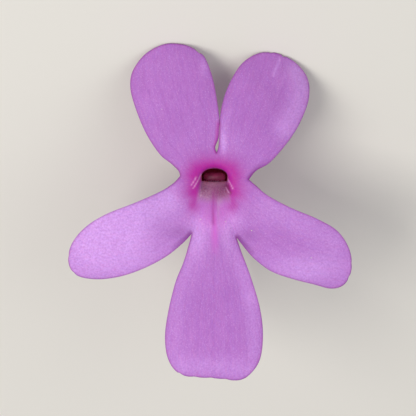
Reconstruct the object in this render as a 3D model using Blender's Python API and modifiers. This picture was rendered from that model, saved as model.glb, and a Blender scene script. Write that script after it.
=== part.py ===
"""A butterwort flower as picked, lying on its back.

Five lobes spread from a short tube that runs back into a slender spur. Behind the tube sit the
two-lipped calyx and a short length of scape. The ovary with its stigma flap and two stamens
stand inside the tube. The flower rests on the tips of its two upper lobes and on the scape.

The flower is drawn in its own frame, in millimetres: x to the right, y up and z towards the
viewer, with the middle of the throat at the origin. An empty then lays it on the surface z = 0.
"""

import math

import bmesh
import bpy
import numpy as np
from mathutils import Matrix, Vector

MM = 0.001
WELD = 1e-6
CURVE_STEPS = 12

# How the flower lies
FACE_TILT = math.radians(33.0)
THROAT_HEIGHT = 9.1
THROAT_X = -0.44
THROAT_Y = -8.6
TABLE_SIZE = (80.0, 80.0, 4.0)

# Corolla
WALL = 0.6
LOBE_COLUMNS = 8
SEAM_ROWS = 3
FREE_ROWS = 13
THROAT_ROWS = 13
SEAM_SHARE = 0.2
RISE_END = 0.5
RING_CENTRE_Y = -0.5
RING_HALF_WIDTH = 2.3
RING_HALF_HEIGHT = 2.5
RING_DEPTH_TOP = 0.02
RING_DEPTH_BOTTOM = 0.30
FUNNEL_FADE = 1.6

# Section of the throat and tube on the flower's middle plane, as (y, z) from the ring inwards. The floor
# rises to a crest that closes the lower half of the mouth, and is nearly flat from side to side there.
ROOF_LINE = [
    (2.0, -0.02), (1.55, -0.16), (1.28, -0.55), (1.18, -1.15), (1.24, -1.9), (1.4, -2.8), (1.5, -3.6),
    (1.48, -4.4), (1.1, -5.15), (0.35, -5.62), (-0.75, -5.85), (-1.9, -6.25), (-3.0, -6.85),
]
FLOOR_LINE = [
    (-3.0, -0.3), (-2.35, -0.43), (-1.7, -0.7), (-1.05, -1.15), (-0.48, -1.7), (-0.16, -2.35), (-0.48, -3.0),
    (-1.2, -3.45), (-1.95, -3.75), (-2.6, -4.1), (-3.2, -4.5), (-3.85, -5.0), (-4.4, -5.6),
]
TUBE_HALF_WIDTHS = [2.3, 1.85, 1.5, 1.35, 1.3, 1.35, 1.5, 1.6, 1.6, 1.45, 1.2, 1.0, 0.88]
FLOOR_FLATNESS = [0.0, 0.15, 0.35, 0.5, 0.55, 0.5, 0.35, 0.15, 0.0, 0.0, 0.0, 0.0, 0.0]

# Spur
SPUR_LENGTH = 15.0
SPUR_ROWS = 9
SPUR_START_SLOPE = math.radians(48.0)
SPUR_END_SLOPE = math.radians(20.0)
SPUR_ROOT_RADIUS = 0.9
SPUR_TIP_RADIUS = 0.2
SPUR_TAPER = 1.6
SPUR_LEAN = 1.3

# Receptacle axis, calyx and scape
CHAMBER_CENTRE = Vector((0.0, -0.1, -4.1))
CHAMBER_RADIUS = 1.6
AXIS_BACK = Vector((0.0, 0.2, -0.98)).normalized()
NECK_RADIUS = 0.45
NECK_OUTSET = 0.02
HOLE_RADIUS = 0.75
HOLE_FROM_WALL = (-0.8, 1.4)
GAP = 0.3
CALYX_RADIUS = 2.25
SPUR_CLEARANCE = 0.35
CALYX_WALL = 0.6
CALYX_RING_ANGLE = 31.0
CALYX_RING_ROWS = 3
SEPAL_COLUMNS = 5
SEPAL_ROWS = 7
SEPAL_END = 0.985
SEPAL_HALF_WIDTH = 0.82
SEPAL_NOTCH = 0.16
SEPAL_FLARE = 0.45
FLARE_START = 65.0
SCAPE_RADIUS = 0.65
SCAPE_SWAY = [(0.1, 3.0), (0.55, 8.0), (0.85, 13.0), (0.7, 18.0), (0.3, 21.0)]
FOOT_CUT = 0.06

# Pistil and stamens
OVARY_RADIUS = 0.65
STYLE_RADIUS = 0.24
STYLE_BEND = (0.0, 0.3, -3.5)
STIGMA_CENTRE = (0.0, 0.6, -2.55)
STIGMA_HALF_SIZES = (0.86, 0.44, 0.3)
STIGMA_TILT = math.radians(-20.0)
FILAMENT_ROUTE = [(0.5, -0.92, -5.2), (0.86, -0.88, -4.75), (0.88, -0.66, -4.25), (0.78, -0.4, -3.8)]
FILAMENT_RADIUS = 0.17
ANTHER_START = 0.8
ANTHER_END = (0.7, -0.3, -3.5)
ANTHER_RADIUS = 0.3
TIP_RADIUS = 0.08

# Each sepal: heading round the receptacle axis from the upper side, its sector and its tip angle
SEPALS = [
    {"heading": 0.0, "sector": (-26.0, 26.0), "tip": 97.0},
    {"heading": 52.0, "sector": (26.0, 80.0), "tip": 95.0},
    {"heading": 106.0, "sector": (80.0, 180.0), "tip": 92.0},
    {"heading": 254.0, "sector": (180.0, 280.0), "tip": 92.0},
    {"heading": 308.0, "sector": (280.0, 334.0), "tip": 95.0},
]

# Each lobe: its outline from notch to notch, anticlockwise, the outline points where its tip begins
# and ends, its bend back at the tip, its lift near the throat, how far its edges lie back and its twist
LOBES = {
    "upper_right": {
        "outline": [
            (3.45, 0.05), (4.2, 0.95), (5.6, 1.8), (7.5, 4.0), (8.75, 6.1), (9.5, 8.3), (9.35, 10.3),
            (8.05, 11.9), (6.15, 12.8), (4.45, 12.75), (2.85, 11.8), (1.7, 10.1), (1.0, 8.2), (0.62, 6.3),
            (0.52, 4.4), (0.38, 3.3), (0.2, 2.74),
        ],
        "tip": (6, 10), "reflex": 2.45, "lift": 0.5, "edge_drop": 0.55, "twist": 0.0,
    },
    "upper_left": {
        "outline": [
            (0.2, 2.74), (0.05, 3.3), (0.24, 4.4), (0.34, 6.2), (0.28, 8.0), (-0.15, 10.1), (-0.85, 12.1),
            (-1.65, 12.95), (-3.1, 13.6), (-5.0, 13.65), (-6.9, 12.7), (-8.2, 11.0), (-8.45, 9.3),
            (-7.95, 7.3), (-6.9, 4.75), (-5.5, 2.6), (-4.3, 1.6), (-3.6, 0.9), (-3.45, 0.4),
        ],
        "tip": (6, 11), "reflex": 1.73, "lift": 0.5, "edge_drop": 0.55, "twist": 0.0,
    },
    "side_left": {
        "outline": [
            (-3.45, 0.4), (-4.1, -0.3), (-5.5, -1.2), (-8.0, -2.3), (-10.8, -3.4), (-12.9, -4.7),
            (-14.3, -6.4), (-14.65, -8.2), (-13.9, -9.5), (-12.0, -9.95), (-9.6, -9.7), (-7.2, -8.9),
            (-4.9, -7.7), (-3.2, -6.35), (-2.3, -5.4),
        ],
        "tip": (5, 9), "reflex": 1.0, "lift": 0.7, "edge_drop": 0.35, "twist": -0.3,
    },
    "lower": {
        "outline": [
            (-2.3, -5.4), (-2.5, -6.2), (-3.1, -8.2), (-3.9, -10.2), (-4.6, -13.0), (-4.95, -15.5),
            (-4.75, -17.6), (-4.0, -19.0), (-2.8, -19.65), (0.0, -19.85), (2.4, -20.05), (3.7, -19.3),
            (4.6, -17.8), (4.85, -15.3), (4.5, -12.6), (3.6, -9.6), (2.7, -7.2), (2.2, -5.75),
        ],
        "tip": (6, 12), "reflex": 0.5, "lift": 0.7, "edge_drop": 0.25, "twist": 0.0,
    },
    "side_right": {
        "outline": [
            (2.2, -5.75), (2.7, -6.4), (3.9, -7.8), (5.6, -9.1), (7.6, -9.85), (9.9, -10.45),
            (11.8, -10.9), (13.1, -10.4), (13.75, -8.9), (13.5, -6.9), (12.3, -5.1), (10.3, -3.9),
            (7.7, -2.8), (5.4, -1.6), (4.2, -0.6), (3.45, 0.05),
        ],
        "tip": (6, 10), "reflex": 1.2, "lift": 0.6, "edge_drop": 0.35, "twist": 0.3,
    },
}

# Directions of the notches round the throat ring, anticlockwise from the right, one before each lobe
NOTCH_ANGLES = [8.0, 86.0, 168.0, 244.0, 296.0, 368.0]

PETAL_COLOUR = (0.46, 0.17, 0.58, 1.0)
GREEN_COLOUR = (0.20, 0.26, 0.08, 1.0)
STEM_COLOUR = (0.27, 0.20, 0.10, 1.0)
OVARY_COLOUR = (0.35, 0.10, 0.16, 1.0)
POLLEN_COLOUR = (0.75, 0.66, 0.40, 1.0)


def clear_scene():
    for obj in list(bpy.data.objects):
        bpy.data.objects.remove(obj)


def collection(name):
    made = bpy.data.collections.new(name)
    bpy.context.scene.collection.children.link(made)
    return made


def material(name, colour, roughness):
    made = bpy.data.materials.new(name)
    made.use_nodes = True
    shader = made.node_tree.nodes["Principled BSDF"]
    shader.inputs["Base Color"].default_value = colour
    shader.inputs["Roughness"].default_value = roughness
    shader.inputs["Metallic"].default_value = 0.0
    return made


def smooth_step(low, high, value):
    x = np.clip((value - low) / (high - low), 0.0, 1.0)
    return x * x * (3.0 - 2.0 * x)


def smooth_curve(points):
    """A Catmull-Rom curve through the points, as its points, their places along it from 0 to 1 and the
    places of the points given."""
    p = np.array(points, float)
    p = np.vstack([2 * p[0] - p[1], p, 2 * p[-1] - p[-2]])
    s = np.linspace(0.0, 1.0, CURVE_STEPS, endpoint=False)[:, None]
    parts = []
    for a, b, c, d in zip(p, p[1:], p[2:], p[3:]):
        linear = c - a
        square = 2 * a - 5 * b + 4 * c - d
        cube = 3 * b - a - 3 * c + d
        parts.append(b + 0.5 * (linear * s + square * s**2 + cube * s**3))
    curve = np.vstack([*parts, p[-2:-1]])
    length = np.concatenate([[0.0], np.cumsum(np.linalg.norm(np.diff(curve, axis=0), axis=1))])
    return curve, length / length[-1], (length / length[-1])[::CURVE_STEPS]


def along(curve, places, at):
    """Points on a curve at the given places, from 0 to 1 by arc length."""
    return np.stack([np.interp(at, places, curve[:, i]) for i in range(curve.shape[1])], axis=-1)


def ring_points(angles):
    """Points of the ring where the throat opens into the lobes, in the plane of the face."""
    return np.stack(
        [RING_HALF_WIDTH * np.cos(angles), RING_CENTRE_Y + RING_HALF_HEIGHT * np.sin(angles)], axis=-1
    )


def face_grid(lobe, first_angle, last_angle, run, across):
    """A lobe's outline filled with rows from the throat ring to the tip, as x, y in the face's plane."""
    curve, places, marks = smooth_curve(lobe["outline"])
    tip_start, tip_end = marks[lobe["tip"][0]], marks[lobe["tip"][1]]
    angles = first_angle + (last_angle - first_angle) * across
    base = ring_points(angles)
    tip = along(curve, places, tip_start + (tip_end - tip_start) * across)
    seam = np.clip(run / SEAM_SHARE, 0.0, 1.0)[:, None]
    free = np.clip((run - SEAM_SHARE) / (1.0 - SEAM_SHARE), 0.0, 1.0)
    on_seam = run[:, None] <= SEAM_SHARE
    first = np.where(on_seam, base[0] + (curve[0] - base[0]) * seam, along(curve, places, tip_start * free))
    last_place = 1.0 - (1.0 - tip_end) * free
    last = np.where(on_seam, base[-1] + (curve[-1] - base[-1]) * seam, along(curve, places, last_place))
    a = run[:, None, None]
    t = across[None, :, None]
    sides = (1 - t) * first[:, None] + t * last[:, None]
    ends = (1 - a) * base[None] + a * tip[None]
    corners = (1 - a) * ((1 - t) * base[0] + t * base[-1]) + a * ((1 - t) * tip[0] + t * tip[-1])
    return sides + ends - corners


def face_depth(lobe, grid, run, across):
    """How far each point of a lobe stands out of the face's plane, towards the viewer."""
    x, y = grid[..., 0], grid[..., 1]
    ring = np.hypot(x / RING_HALF_WIDTH, (y - RING_CENTRE_Y) / RING_HALF_HEIGHT)
    upward = (y - RING_CENTRE_Y) / RING_HALF_HEIGHT / ring
    ring_depth = RING_DEPTH_TOP + (RING_DEPTH_BOTTOM - RING_DEPTH_TOP) * (1 - upward) / 2
    funnel = -ring_depth * np.exp(-(ring - 1) * FUNNEL_FADE)
    part = (ring - 1) / (ring.max() - 1)
    side = 2 * across[None, :] - 1
    own = lobe["lift"] * np.sin(math.pi * part) - lobe["reflex"] * part**2
    own = own - lobe["edge_drop"] * side**2 * part + lobe["twist"] * side * part * 2
    rise = smooth_step(SEAM_SHARE, RISE_END, run)[:, None]
    weight = 1 - side**2 * (1 - rise)
    return funnel + weight * own


def throat_rings(count):
    """Rings from the face's ring inwards, each as its roof, its floor, its half width and its flatness."""
    sizes = zip(ROOF_LINE, FLOOR_LINE, TUBE_HALF_WIDTHS, FLOOR_FLATNESS)
    curve, places, _ = smooth_curve([(*roof, *floor, half, flat) for roof, floor, half, flat in sizes])
    return along(curve, places, np.linspace(0.0, 1.0, count + 1))


def spur_rings(start, count):
    """Rings down the spur from the tube's last ring, and how far each leans to the side."""
    share = np.linspace(0.0, 1.0, count + 1)[1:]
    place = (start[0:2] + start[2:4]) / 2
    rings = []
    for s in share:
        slope = SPUR_START_SLOPE + (SPUR_END_SLOPE - SPUR_START_SLOPE) * math.sqrt(s)
        place = place - SPUR_LENGTH / count * np.array((math.cos(slope), math.sin(slope)))
        radius = SPUR_TIP_RADIUS + (SPUR_ROOT_RADIUS - SPUR_TIP_RADIUS) * (1 - s) ** SPUR_TAPER
        out = radius * np.array((math.sin(slope), -math.cos(slope)))
        rings.append((*(place + out), *(place - out), radius, 0.0))
    return rings, SPUR_LEAN * share**2


def tube_points(ring, angles, lean=0.0):
    """Points round one ring of the tube, starting at the right and going up over the roof."""
    roof, floor, half, flat = ring[0:2], ring[2:4], ring[4], max(ring[5], 0.0)
    middle = (roof + floor) / 2
    up = (roof - floor) / 2
    rise = np.sin(angles)
    rise = np.where(rise < 0, -np.abs(rise) ** (1 - flat), rise)
    return np.column_stack([lean + half * np.cos(angles), middle + rise[:, None] * up])


def mesh_object(name, verts, faces, where, look):
    """A mesh object from points in millimetres. Shared points are merged and quads are split in two."""
    mesh = bpy.data.meshes.new(name)
    mesh.from_pydata([tuple(MM * c for c in v) for v in verts], [], faces)
    bm = bmesh.new()
    bm.from_mesh(mesh)
    bmesh.ops.remove_doubles(bm, verts=bm.verts, dist=WELD)
    bmesh.ops.triangulate(bm, faces=bm.faces)
    bm.to_mesh(mesh)
    bm.free()
    mesh.shade_smooth()
    mesh.materials.append(look)
    obj = bpy.data.objects.new(name, mesh)
    where.objects.link(obj)
    return obj


def grid_faces(start, rows, columns, closed=False):
    """Quads of a grid of points stored row by row. They face the side from which rows run outwards
    and columns run anticlockwise."""
    faces = []
    for r in range(rows - 1):
        for c in range(columns if closed else columns - 1):
            right = (c + 1) % columns
            low, high = start + r * columns, start + (r + 1) * columns
            faces.append((low + c, high + c, high + right, low + right))
    return faces


def corolla_surface():
    """The inner, upper skin of the corolla: five lobes, throat, tube and spur in one open sheet."""
    verts, faces = [], []
    across = np.linspace(0.0, 1.0, LOBE_COLUMNS + 1)
    seam = np.linspace(0.0, SEAM_SHARE, SEAM_ROWS + 1)
    free = np.linspace(SEAM_SHARE, 1.0, FREE_ROWS + 1)[1:]
    run = np.concatenate([seam, free])
    notches = np.radians(NOTCH_ANGLES)
    angles = []
    for lobe, first, last in zip(LOBES.values(), notches, notches[1:]):
        grid = face_grid(lobe, first, last, run, across)
        depth = face_depth(lobe, grid, run, across)
        faces += grid_faces(len(verts), len(run), len(across))
        verts += [(x, y, z) for (x, y), z in zip(grid.reshape(-1, 2), depth.reshape(-1))]
        angles += list(first + (last - first) * across[:-1])
    angles = np.array(angles)
    throat = throat_rings(THROAT_ROWS)
    rows = [throat_start(angles)]
    rows += [tube_points(ring, angles) for ring in throat[1:]]
    spur, leans = spur_rings(throat[-1], SPUR_ROWS)
    rows += [tube_points(np.array(ring), angles, lean) for ring, lean in zip(spur, leans)]
    rows.reverse()
    first_vert = len(verts)
    for row in rows:
        verts += [tuple(p) for p in row]
    faces += grid_faces(first_vert, len(rows), len(angles), closed=True)
    tip_end = rows[0].mean(axis=0)
    tip_end[1:] -= SPUR_TIP_RADIUS * np.array((math.cos(SPUR_END_SLOPE), math.sin(SPUR_END_SLOPE)))
    verts.append(tuple(tip_end))
    count = len(angles)
    faces += [(len(verts) - 1, first_vert + i, first_vert + (i + 1) % count) for i in range(count)]
    return verts, faces


def throat_start(angles):
    """The face's ring with its depth, which every lobe shares."""
    depth = RING_DEPTH_TOP + (RING_DEPTH_BOTTOM - RING_DEPTH_TOP) * (1 - np.sin(angles)) / 2
    return np.column_stack([ring_points(angles), -depth])


def solidify(obj, wall, offset):
    shell = obj.modifiers.new("wall", "SOLIDIFY")
    shell.thickness = wall * MM
    shell.offset = offset
    shell.use_even_offset = True
    shell.thickness_clamp = 1.0


def cut(obj, cutter, name):
    hole = obj.modifiers.new(name, "BOOLEAN")
    hole.operation = "DIFFERENCE"
    hole.object = cutter


def helper(obj):
    obj.hide_render = True
    obj.display_type = "WIRE"
    return obj


def add_rod(name, radius, start, end, where, parent):
    """A closed cylinder between two points in millimetres, made in the parent's frame."""
    bm = bmesh.new()
    length = (end - start).length
    bmesh.ops.create_cone(
        bm, cap_ends=True, segments=20, radius1=radius * MM, radius2=radius * MM, depth=length * MM
    )
    mesh = bpy.data.meshes.new(name)
    bm.to_mesh(mesh)
    bm.free()
    obj = bpy.data.objects.new(name, mesh)
    where.objects.link(obj)
    obj.parent = parent
    obj.location = (start + end) / 2 * MM
    obj.rotation_mode = "QUATERNION"
    obj.rotation_quaternion = (end - start).to_track_quat("Z", "Y")
    return obj


def add_ball(name, radii, centre, tilt, where, parent):
    """A closed ellipsoid with the given half sizes, tilted about x."""
    bm = bmesh.new()
    bmesh.ops.create_uvsphere(bm, u_segments=14, v_segments=8, radius=1.0)
    bmesh.ops.scale(bm, verts=bm.verts, vec=Vector(radii) * MM)
    mesh = bpy.data.meshes.new(name)
    bm.to_mesh(mesh)
    bm.free()
    mesh.shade_smooth()
    obj = bpy.data.objects.new(name, mesh)
    where.objects.link(obj)
    obj.parent = parent
    obj.location = Vector(centre) * MM
    obj.rotation_euler = (tilt, 0.0, 0.0)
    return obj


def add_tube(name, points, radii, where, parent):
    """A tube through points in millimetres, as a closed mesh whose caps are welded."""
    curve = bpy.data.curves.new(name, "CURVE")
    curve.dimensions = "3D"
    curve.bevel_depth = MM
    curve.bevel_resolution = 3
    curve.use_fill_caps = True
    spline = curve.splines.new("POLY")
    spline.points.add(len(points) - 1)
    for point, place, radius in zip(spline.points, points, radii):
        point.co = (*(MM * c for c in place), 1.0)
        point.radius = radius
    drawn = bpy.data.objects.new(name + "_line", curve)
    where.objects.link(drawn)
    drawn.parent = parent
    bpy.context.view_layer.update()
    graph = bpy.context.evaluated_depsgraph_get()
    mesh = bpy.data.meshes.new_from_object(drawn.evaluated_get(graph))
    bm = bmesh.new()
    bm.from_mesh(mesh)
    bmesh.ops.remove_doubles(bm, verts=bm.verts, dist=WELD)
    bm.to_mesh(mesh)
    bm.free()
    mesh.shade_smooth()
    obj = bpy.data.objects.new(name, mesh)
    where.objects.link(obj)
    obj.parent = parent
    obj.matrix_world = drawn.matrix_world
    bpy.data.objects.remove(drawn)
    return obj


def union(obj, others):
    """Joins the other closed meshes into obj and removes them."""
    group = collection(obj.name + "_pieces")
    for other in others:
        for old in list(other.users_collection):
            old.objects.unlink(other)
        group.objects.link(other)
    join = obj.modifiers.new("join", "BOOLEAN")
    join.operation = "UNION"
    join.operand_type = "COLLECTION"
    join.collection = group
    bpy.context.view_layer.update()
    graph = bpy.context.evaluated_depsgraph_get()
    mesh = bpy.data.meshes.new_from_object(obj.evaluated_get(graph))
    obj.modifiers.clear()
    obj.data = mesh
    for other in others:
        bpy.data.objects.remove(other)
    bpy.data.collections.remove(group)


def lying_frame():
    """The empty that lays the flower on the surface: its face looks up and forwards."""
    frame = bpy.data.objects.new("flower_frame", None)
    bpy.context.scene.collection.objects.link(frame)
    throat = Vector((THROAT_X, THROAT_Y, THROAT_HEIGHT)) * MM
    back_over = Matrix.Rotation(FACE_TILT, 4, "X")
    turned = Matrix.Rotation(math.pi, 4, "Z")
    frame.matrix_world = Matrix.Translation(throat) @ back_over @ turned
    return frame


def table_block(where):
    """The block under the surface that takes off what would dip below it."""
    bm = bmesh.new()
    bmesh.ops.create_cube(bm, size=1.0)
    bmesh.ops.scale(bm, verts=bm.verts, vec=Vector(TABLE_SIZE) * MM)
    mesh = bpy.data.meshes.new("table")
    bm.to_mesh(mesh)
    bm.free()
    table = helper(bpy.data.objects.new("table", mesh))
    table.location.z = -TABLE_SIZE[2] / 2 * MM
    where.objects.link(table)
    return table


def build_corolla(parts, helpers, frame, table):
    """The corolla: one wall with a hole for the receptacle and a resting flat at each upper tip."""
    verts, faces = corolla_surface()
    corolla = mesh_object("corolla", verts, faces, parts, material("petal", PETAL_COLOUR, 0.55))
    corolla.parent = frame
    solidify(corolla, WALL, -1.0)
    start, end = (CHAMBER_CENTRE + AXIS_BACK * (CHAMBER_RADIUS + out) for out in HOLE_FROM_WALL)
    hole = helper(add_rod("receptacle_hole", HOLE_RADIUS, start, end, helpers, frame))
    cut(corolla, hole, "receptacle_hole")
    cut(corolla, table, "resting_flats")


def calyx_point(angle, heading):
    """A point of the calyx's inner skin, by its angle from the receptacle axis and its heading."""
    upper = AXIS_BACK.cross(Vector((1.0, 0.0, 0.0))).normalized()
    upper = upper if upper.y > 0 else -upper
    sideways = Vector((1.0, 0.0, 0.0))
    a, h = math.radians(angle), math.radians(heading)
    from_spur = abs((heading + 180.0) % 360.0 - 180.0)
    flare = SEPAL_FLARE * max(0.0, (angle - FLARE_START) / 30.0) ** 2
    flare += SPUR_CLEARANCE * float(smooth_step(80.0, 160.0, from_spur))
    direction = math.cos(a) * AXIS_BACK + math.sin(a) * (math.cos(h) * upper + math.sin(h) * sideways)
    return CHAMBER_CENTRE + direction * (CALYX_RADIUS + flare)


def sepal_half_heading(angle, share, base_half):
    """Half the heading that a sepal covers at an angle from the axis, in degrees."""
    radius = CALYX_RADIUS * math.sin(math.radians(angle))
    room = math.radians(base_half) * radius - SEPAL_NOTCH * float(smooth_step(0.0, 0.15, share))
    half = min(room, SEPAL_HALF_WIDTH) * math.sqrt(max(0.0, 1 - share**3))
    return math.degrees(half / radius)


def build_calyx(parts, frame):
    """Five sepals joined in a cup round the tube's back: three in the upper lip, two in the lower."""
    verts, faces = [], []
    hole_angle = math.degrees(math.asin(HOLE_RADIUS / CALYX_RADIUS))
    columns = SEPAL_COLUMNS + 1
    for sepal in SEPALS:
        first, last = sepal["sector"]
        headings = np.linspace(first, last, columns)
        cup = np.linspace(hole_angle, CALYX_RING_ANGLE, CALYX_RING_ROWS)
        rows = [[calyx_point(angle, h) for h in headings] for angle in cup]
        base_half = (last - first) / 2
        for share in np.linspace(0.0, SEPAL_END, SEPAL_ROWS + 1)[1:]:
            angle = CALYX_RING_ANGLE + share * (sepal["tip"] - CALYX_RING_ANGLE)
            middle = (first + last) / 2
            middle += (sepal["heading"] - middle) * float(smooth_step(0.0, 0.5, share))
            half = sepal_half_heading(angle, share, base_half)
            rows.append([calyx_point(angle, h) for h in np.linspace(middle - half, middle + half, columns)])
        faces += grid_faces(len(verts), len(rows), columns)
        verts += [tuple(p) for row in rows for p in row]
    calyx = mesh_object("calyx", verts, faces, parts, material("calyx", GREEN_COLOUR, 0.5))
    calyx.parent = frame
    solidify(calyx, CALYX_WALL, 1.0)


def scape_route(place):
    """The scape's middle line in the model's frame: neck, shoulder, bend and the stretch that lies."""
    neck_end = place @ (CHAMBER_CENTRE + AXIS_BACK * (CHAMBER_RADIUS + NECK_OUTSET)) / MM
    shoulder = place @ (CHAMBER_CENTRE + AXIS_BACK * (CALYX_RADIUS + CALYX_WALL + GAP)) / MM
    axis = (shoulder - neck_end).normalized()
    slope = math.atan2(-axis.z, axis.y)
    height = SCAPE_RADIUS - FOOT_CUT
    bend_radius = (shoulder.z - height) / (1.0 - math.cos(slope))
    route = [tuple(neck_end), tuple((neck_end + shoulder) / 2), tuple(shoulder)]
    for left in (0.75, 0.5, 0.25, 0.0):
        y = shoulder.y + bend_radius * (math.sin(slope) - math.sin(slope * left))
        z = height + bend_radius * (1.0 - math.cos(slope * left))
        route.append((shoulder.x, y, z))
    bend_end = route[-1][1]
    return route + [(shoulder.x + x, bend_end + y, height) for x, y in SCAPE_SWAY]


def build_scape(parts, frame, table):
    """The scape, from its neck inside the tube's hole to its cut end, lying along the surface."""
    curve, places, marks = smooth_curve(scape_route(frame.matrix_world @ Matrix.Scale(MM, 4)))
    shoulder, bend_start, bend_end = marks[2], marks[3], marks[6]
    neck = np.linspace(0.0, shoulder, 4)
    bend = np.linspace(shoulder, bend_end, 11)[1:]
    lying = np.linspace(bend_end, 1.0, 14)[1:]
    stations = np.concatenate([neck, bend, lying])
    points = along(curve, places, stations)
    swell = smooth_step(shoulder * 0.9, bend_start, stations)
    radii = NECK_RADIUS + (SCAPE_RADIUS - NECK_RADIUS) * swell
    scape = add_tube("scape", points, radii, parts, None)
    scape.data.materials.append(material("scape", STEM_COLOUR, 0.5))
    cut(scape, table, "resting_flat")


def build_pistil(parts, frame):
    """The ovary on the receptacle, its style and the stigma's flap under the roof of the throat."""
    centre = CHAMBER_CENTRE + AXIS_BACK * (CHAMBER_RADIUS - GAP - OVARY_RADIUS)
    pistil = add_ball("pistil", (OVARY_RADIUS,) * 3, centre, 0.0, parts, frame)
    style_path, places, _ = smooth_curve([tuple(centre), STYLE_BEND, STIGMA_CENTRE])
    points = along(style_path, places, np.linspace(0.0, 1.0, 9))
    style = add_tube("style", points, [STYLE_RADIUS] * len(points), parts, frame)
    stigma = add_ball("stigma", STIGMA_HALF_SIZES, STIGMA_CENTRE, STIGMA_TILT, parts, frame)
    union(pistil, [style, stigma])
    pistil.data.materials.append(material("pistil", OVARY_COLOUR, 0.5))


def build_stamen(name, side, parts, frame, look):
    """One stamen: a curved filament from near the tube's wall, swelling into an anther by the style."""
    route = [(side * x, y, z) for x, y, z in [*FILAMENT_ROUTE, ANTHER_END]]
    curve, places, marks = smooth_curve(route)
    neck = marks[3] * ANTHER_START
    stations = np.concatenate([np.linspace(0.0, neck, 8), np.linspace(neck, 1.0, 9)[1:]])
    points = along(curve, places, stations)
    share = np.clip((stations - neck) / (1.0 - neck), 0.0, 1.0)
    swell = np.sin(math.pi * share) ** 0.7
    foot = FILAMENT_RADIUS + (TIP_RADIUS - FILAMENT_RADIUS) * smooth_step(0.7, 1.0, share)
    stamen = add_tube(name, points, foot + (ANTHER_RADIUS - FILAMENT_RADIUS) * swell, parts, frame)
    stamen.data.materials.append(look)


def build():
    clear_scene()
    parts = collection("butterwort_flower")
    helpers = collection("cutters")
    frame = lying_frame()
    bpy.context.view_layer.update()
    table = table_block(helpers)
    build_corolla(parts, helpers, frame, table)
    build_calyx(parts, frame)
    build_scape(parts, frame, table)
    build_pistil(parts, frame)
    pollen = material("stamen", POLLEN_COLOUR, 0.7)
    build_stamen("stamen_left", -1, parts, frame, pollen)
    build_stamen("stamen_right", 1, parts, frame, pollen)


build()
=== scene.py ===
"""The looks of a picked butterwort flower that lies on its back.

Every piece is drawn in the flower's own frame, in millimetres: x to the right, y up and z towards
the viewer, with the middle of the throat at the origin. laid() takes it to the model's frame.
"""

import math

import bmesh
import bpy
import numpy as np
from mathutils import Matrix, Vector


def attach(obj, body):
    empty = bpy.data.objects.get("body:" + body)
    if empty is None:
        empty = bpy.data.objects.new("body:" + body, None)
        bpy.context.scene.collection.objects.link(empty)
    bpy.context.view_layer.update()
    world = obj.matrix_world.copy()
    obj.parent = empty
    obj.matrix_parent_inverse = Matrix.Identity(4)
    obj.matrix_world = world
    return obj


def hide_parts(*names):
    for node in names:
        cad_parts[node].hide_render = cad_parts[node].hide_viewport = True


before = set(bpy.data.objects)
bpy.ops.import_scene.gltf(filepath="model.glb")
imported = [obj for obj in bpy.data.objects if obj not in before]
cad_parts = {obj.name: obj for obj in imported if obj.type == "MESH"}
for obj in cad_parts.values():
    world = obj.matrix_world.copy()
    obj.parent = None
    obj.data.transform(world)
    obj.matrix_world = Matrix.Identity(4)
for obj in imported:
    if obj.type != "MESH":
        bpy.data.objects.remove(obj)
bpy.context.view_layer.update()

MM = 0.001
POLE_GAP = 0.04

# How the flower lies
FACE_TILT = math.radians(33.0)
THROAT_PLACE = Vector((-0.44, -8.6, 9.1))
FACE_TURN = Matrix.Rotation(FACE_TILT, 4, "X") @ Matrix.Rotation(math.pi, 4, "Z")
LAY = Matrix.Translation(THROAT_PLACE) @ FACE_TURN
TURN, ORIGIN = np.array(LAY.to_3x3()), np.array(THROAT_PLACE)

# The corolla's wall, thinner at the lobes' rims and down the spur
PETAL_WALL = 0.28
RIM_WALL_SHARE = 0.5
RIM_WALL_FADE = 0.12
SPUR_WALL_SHARE = 0.6

# Columns and rows of the lobes, closest together at their edges, and rows down the throat
LOBE_COLUMNS = 48
EDGE_COLUMNS = (0.0, 0.009, 0.022)
MIDDLE_START = 0.045
SEAM_ROWS = 10
SEAM_SHARE = 0.2
FREE_ROWS = 66
TIP_ROWS = (0.982, 0.991, 1.0)
THROAT_ROWS = 44

# The ring where the throat opens into the lobes, and the notches' directions, one before each lobe
RING_CENTRE_Y = -0.5
RING_HALF_WIDTH = 2.3
RING_HALF_HEIGHT = 2.5
RING_DEPTH_TOP = 0.02
RING_DEPTH_BOTTOM = 0.30
NOTCH_ANGLES = [8.0, 86.0, 168.0, 244.0, 296.0, 368.0]

# How the lobes leave the ring, ripple and settle on the surface
FUNNEL_FADE = 1.6
RISE_END = 0.5
RIPPLE_HEIGHT = 0.13
TIP_SETTLE = 0.14

# Section of the throat and tube on the flower's middle plane, as (y, z) from the ring inwards
ROOF_LINE = [
    (2.0, -0.02), (1.55, -0.16), (1.28, -0.55), (1.18, -1.15), (1.24, -1.9), (1.4, -2.8), (1.5, -3.6),
    (1.48, -4.4), (1.1, -5.15), (0.35, -5.62), (-0.75, -5.85), (-1.9, -6.25), (-3.0, -6.85),
]
FLOOR_LINE = [
    (-3.0, -0.3), (-2.35, -0.43), (-1.7, -0.7), (-1.05, -1.15), (-0.48, -1.7), (-0.16, -2.35), (-0.48, -3.0),
    (-1.2, -3.45), (-1.95, -3.75), (-2.6, -4.1), (-3.2, -4.5), (-3.85, -5.0), (-4.4, -5.6),
]
TUBE_HALF_WIDTHS = [2.3, 1.85, 1.5, 1.35, 1.3, 1.35, 1.5, 1.6, 1.6, 1.45, 1.2, 1.0, 0.88]
ROOF_SQUARENESS = 0.4
FLOOR_FLATNESS = [0.0, 0.15, 0.4, 0.75, 0.9, 0.88, 0.6, 0.2, 0.0, 0.0, 0.0, 0.0, 0.0]

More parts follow.
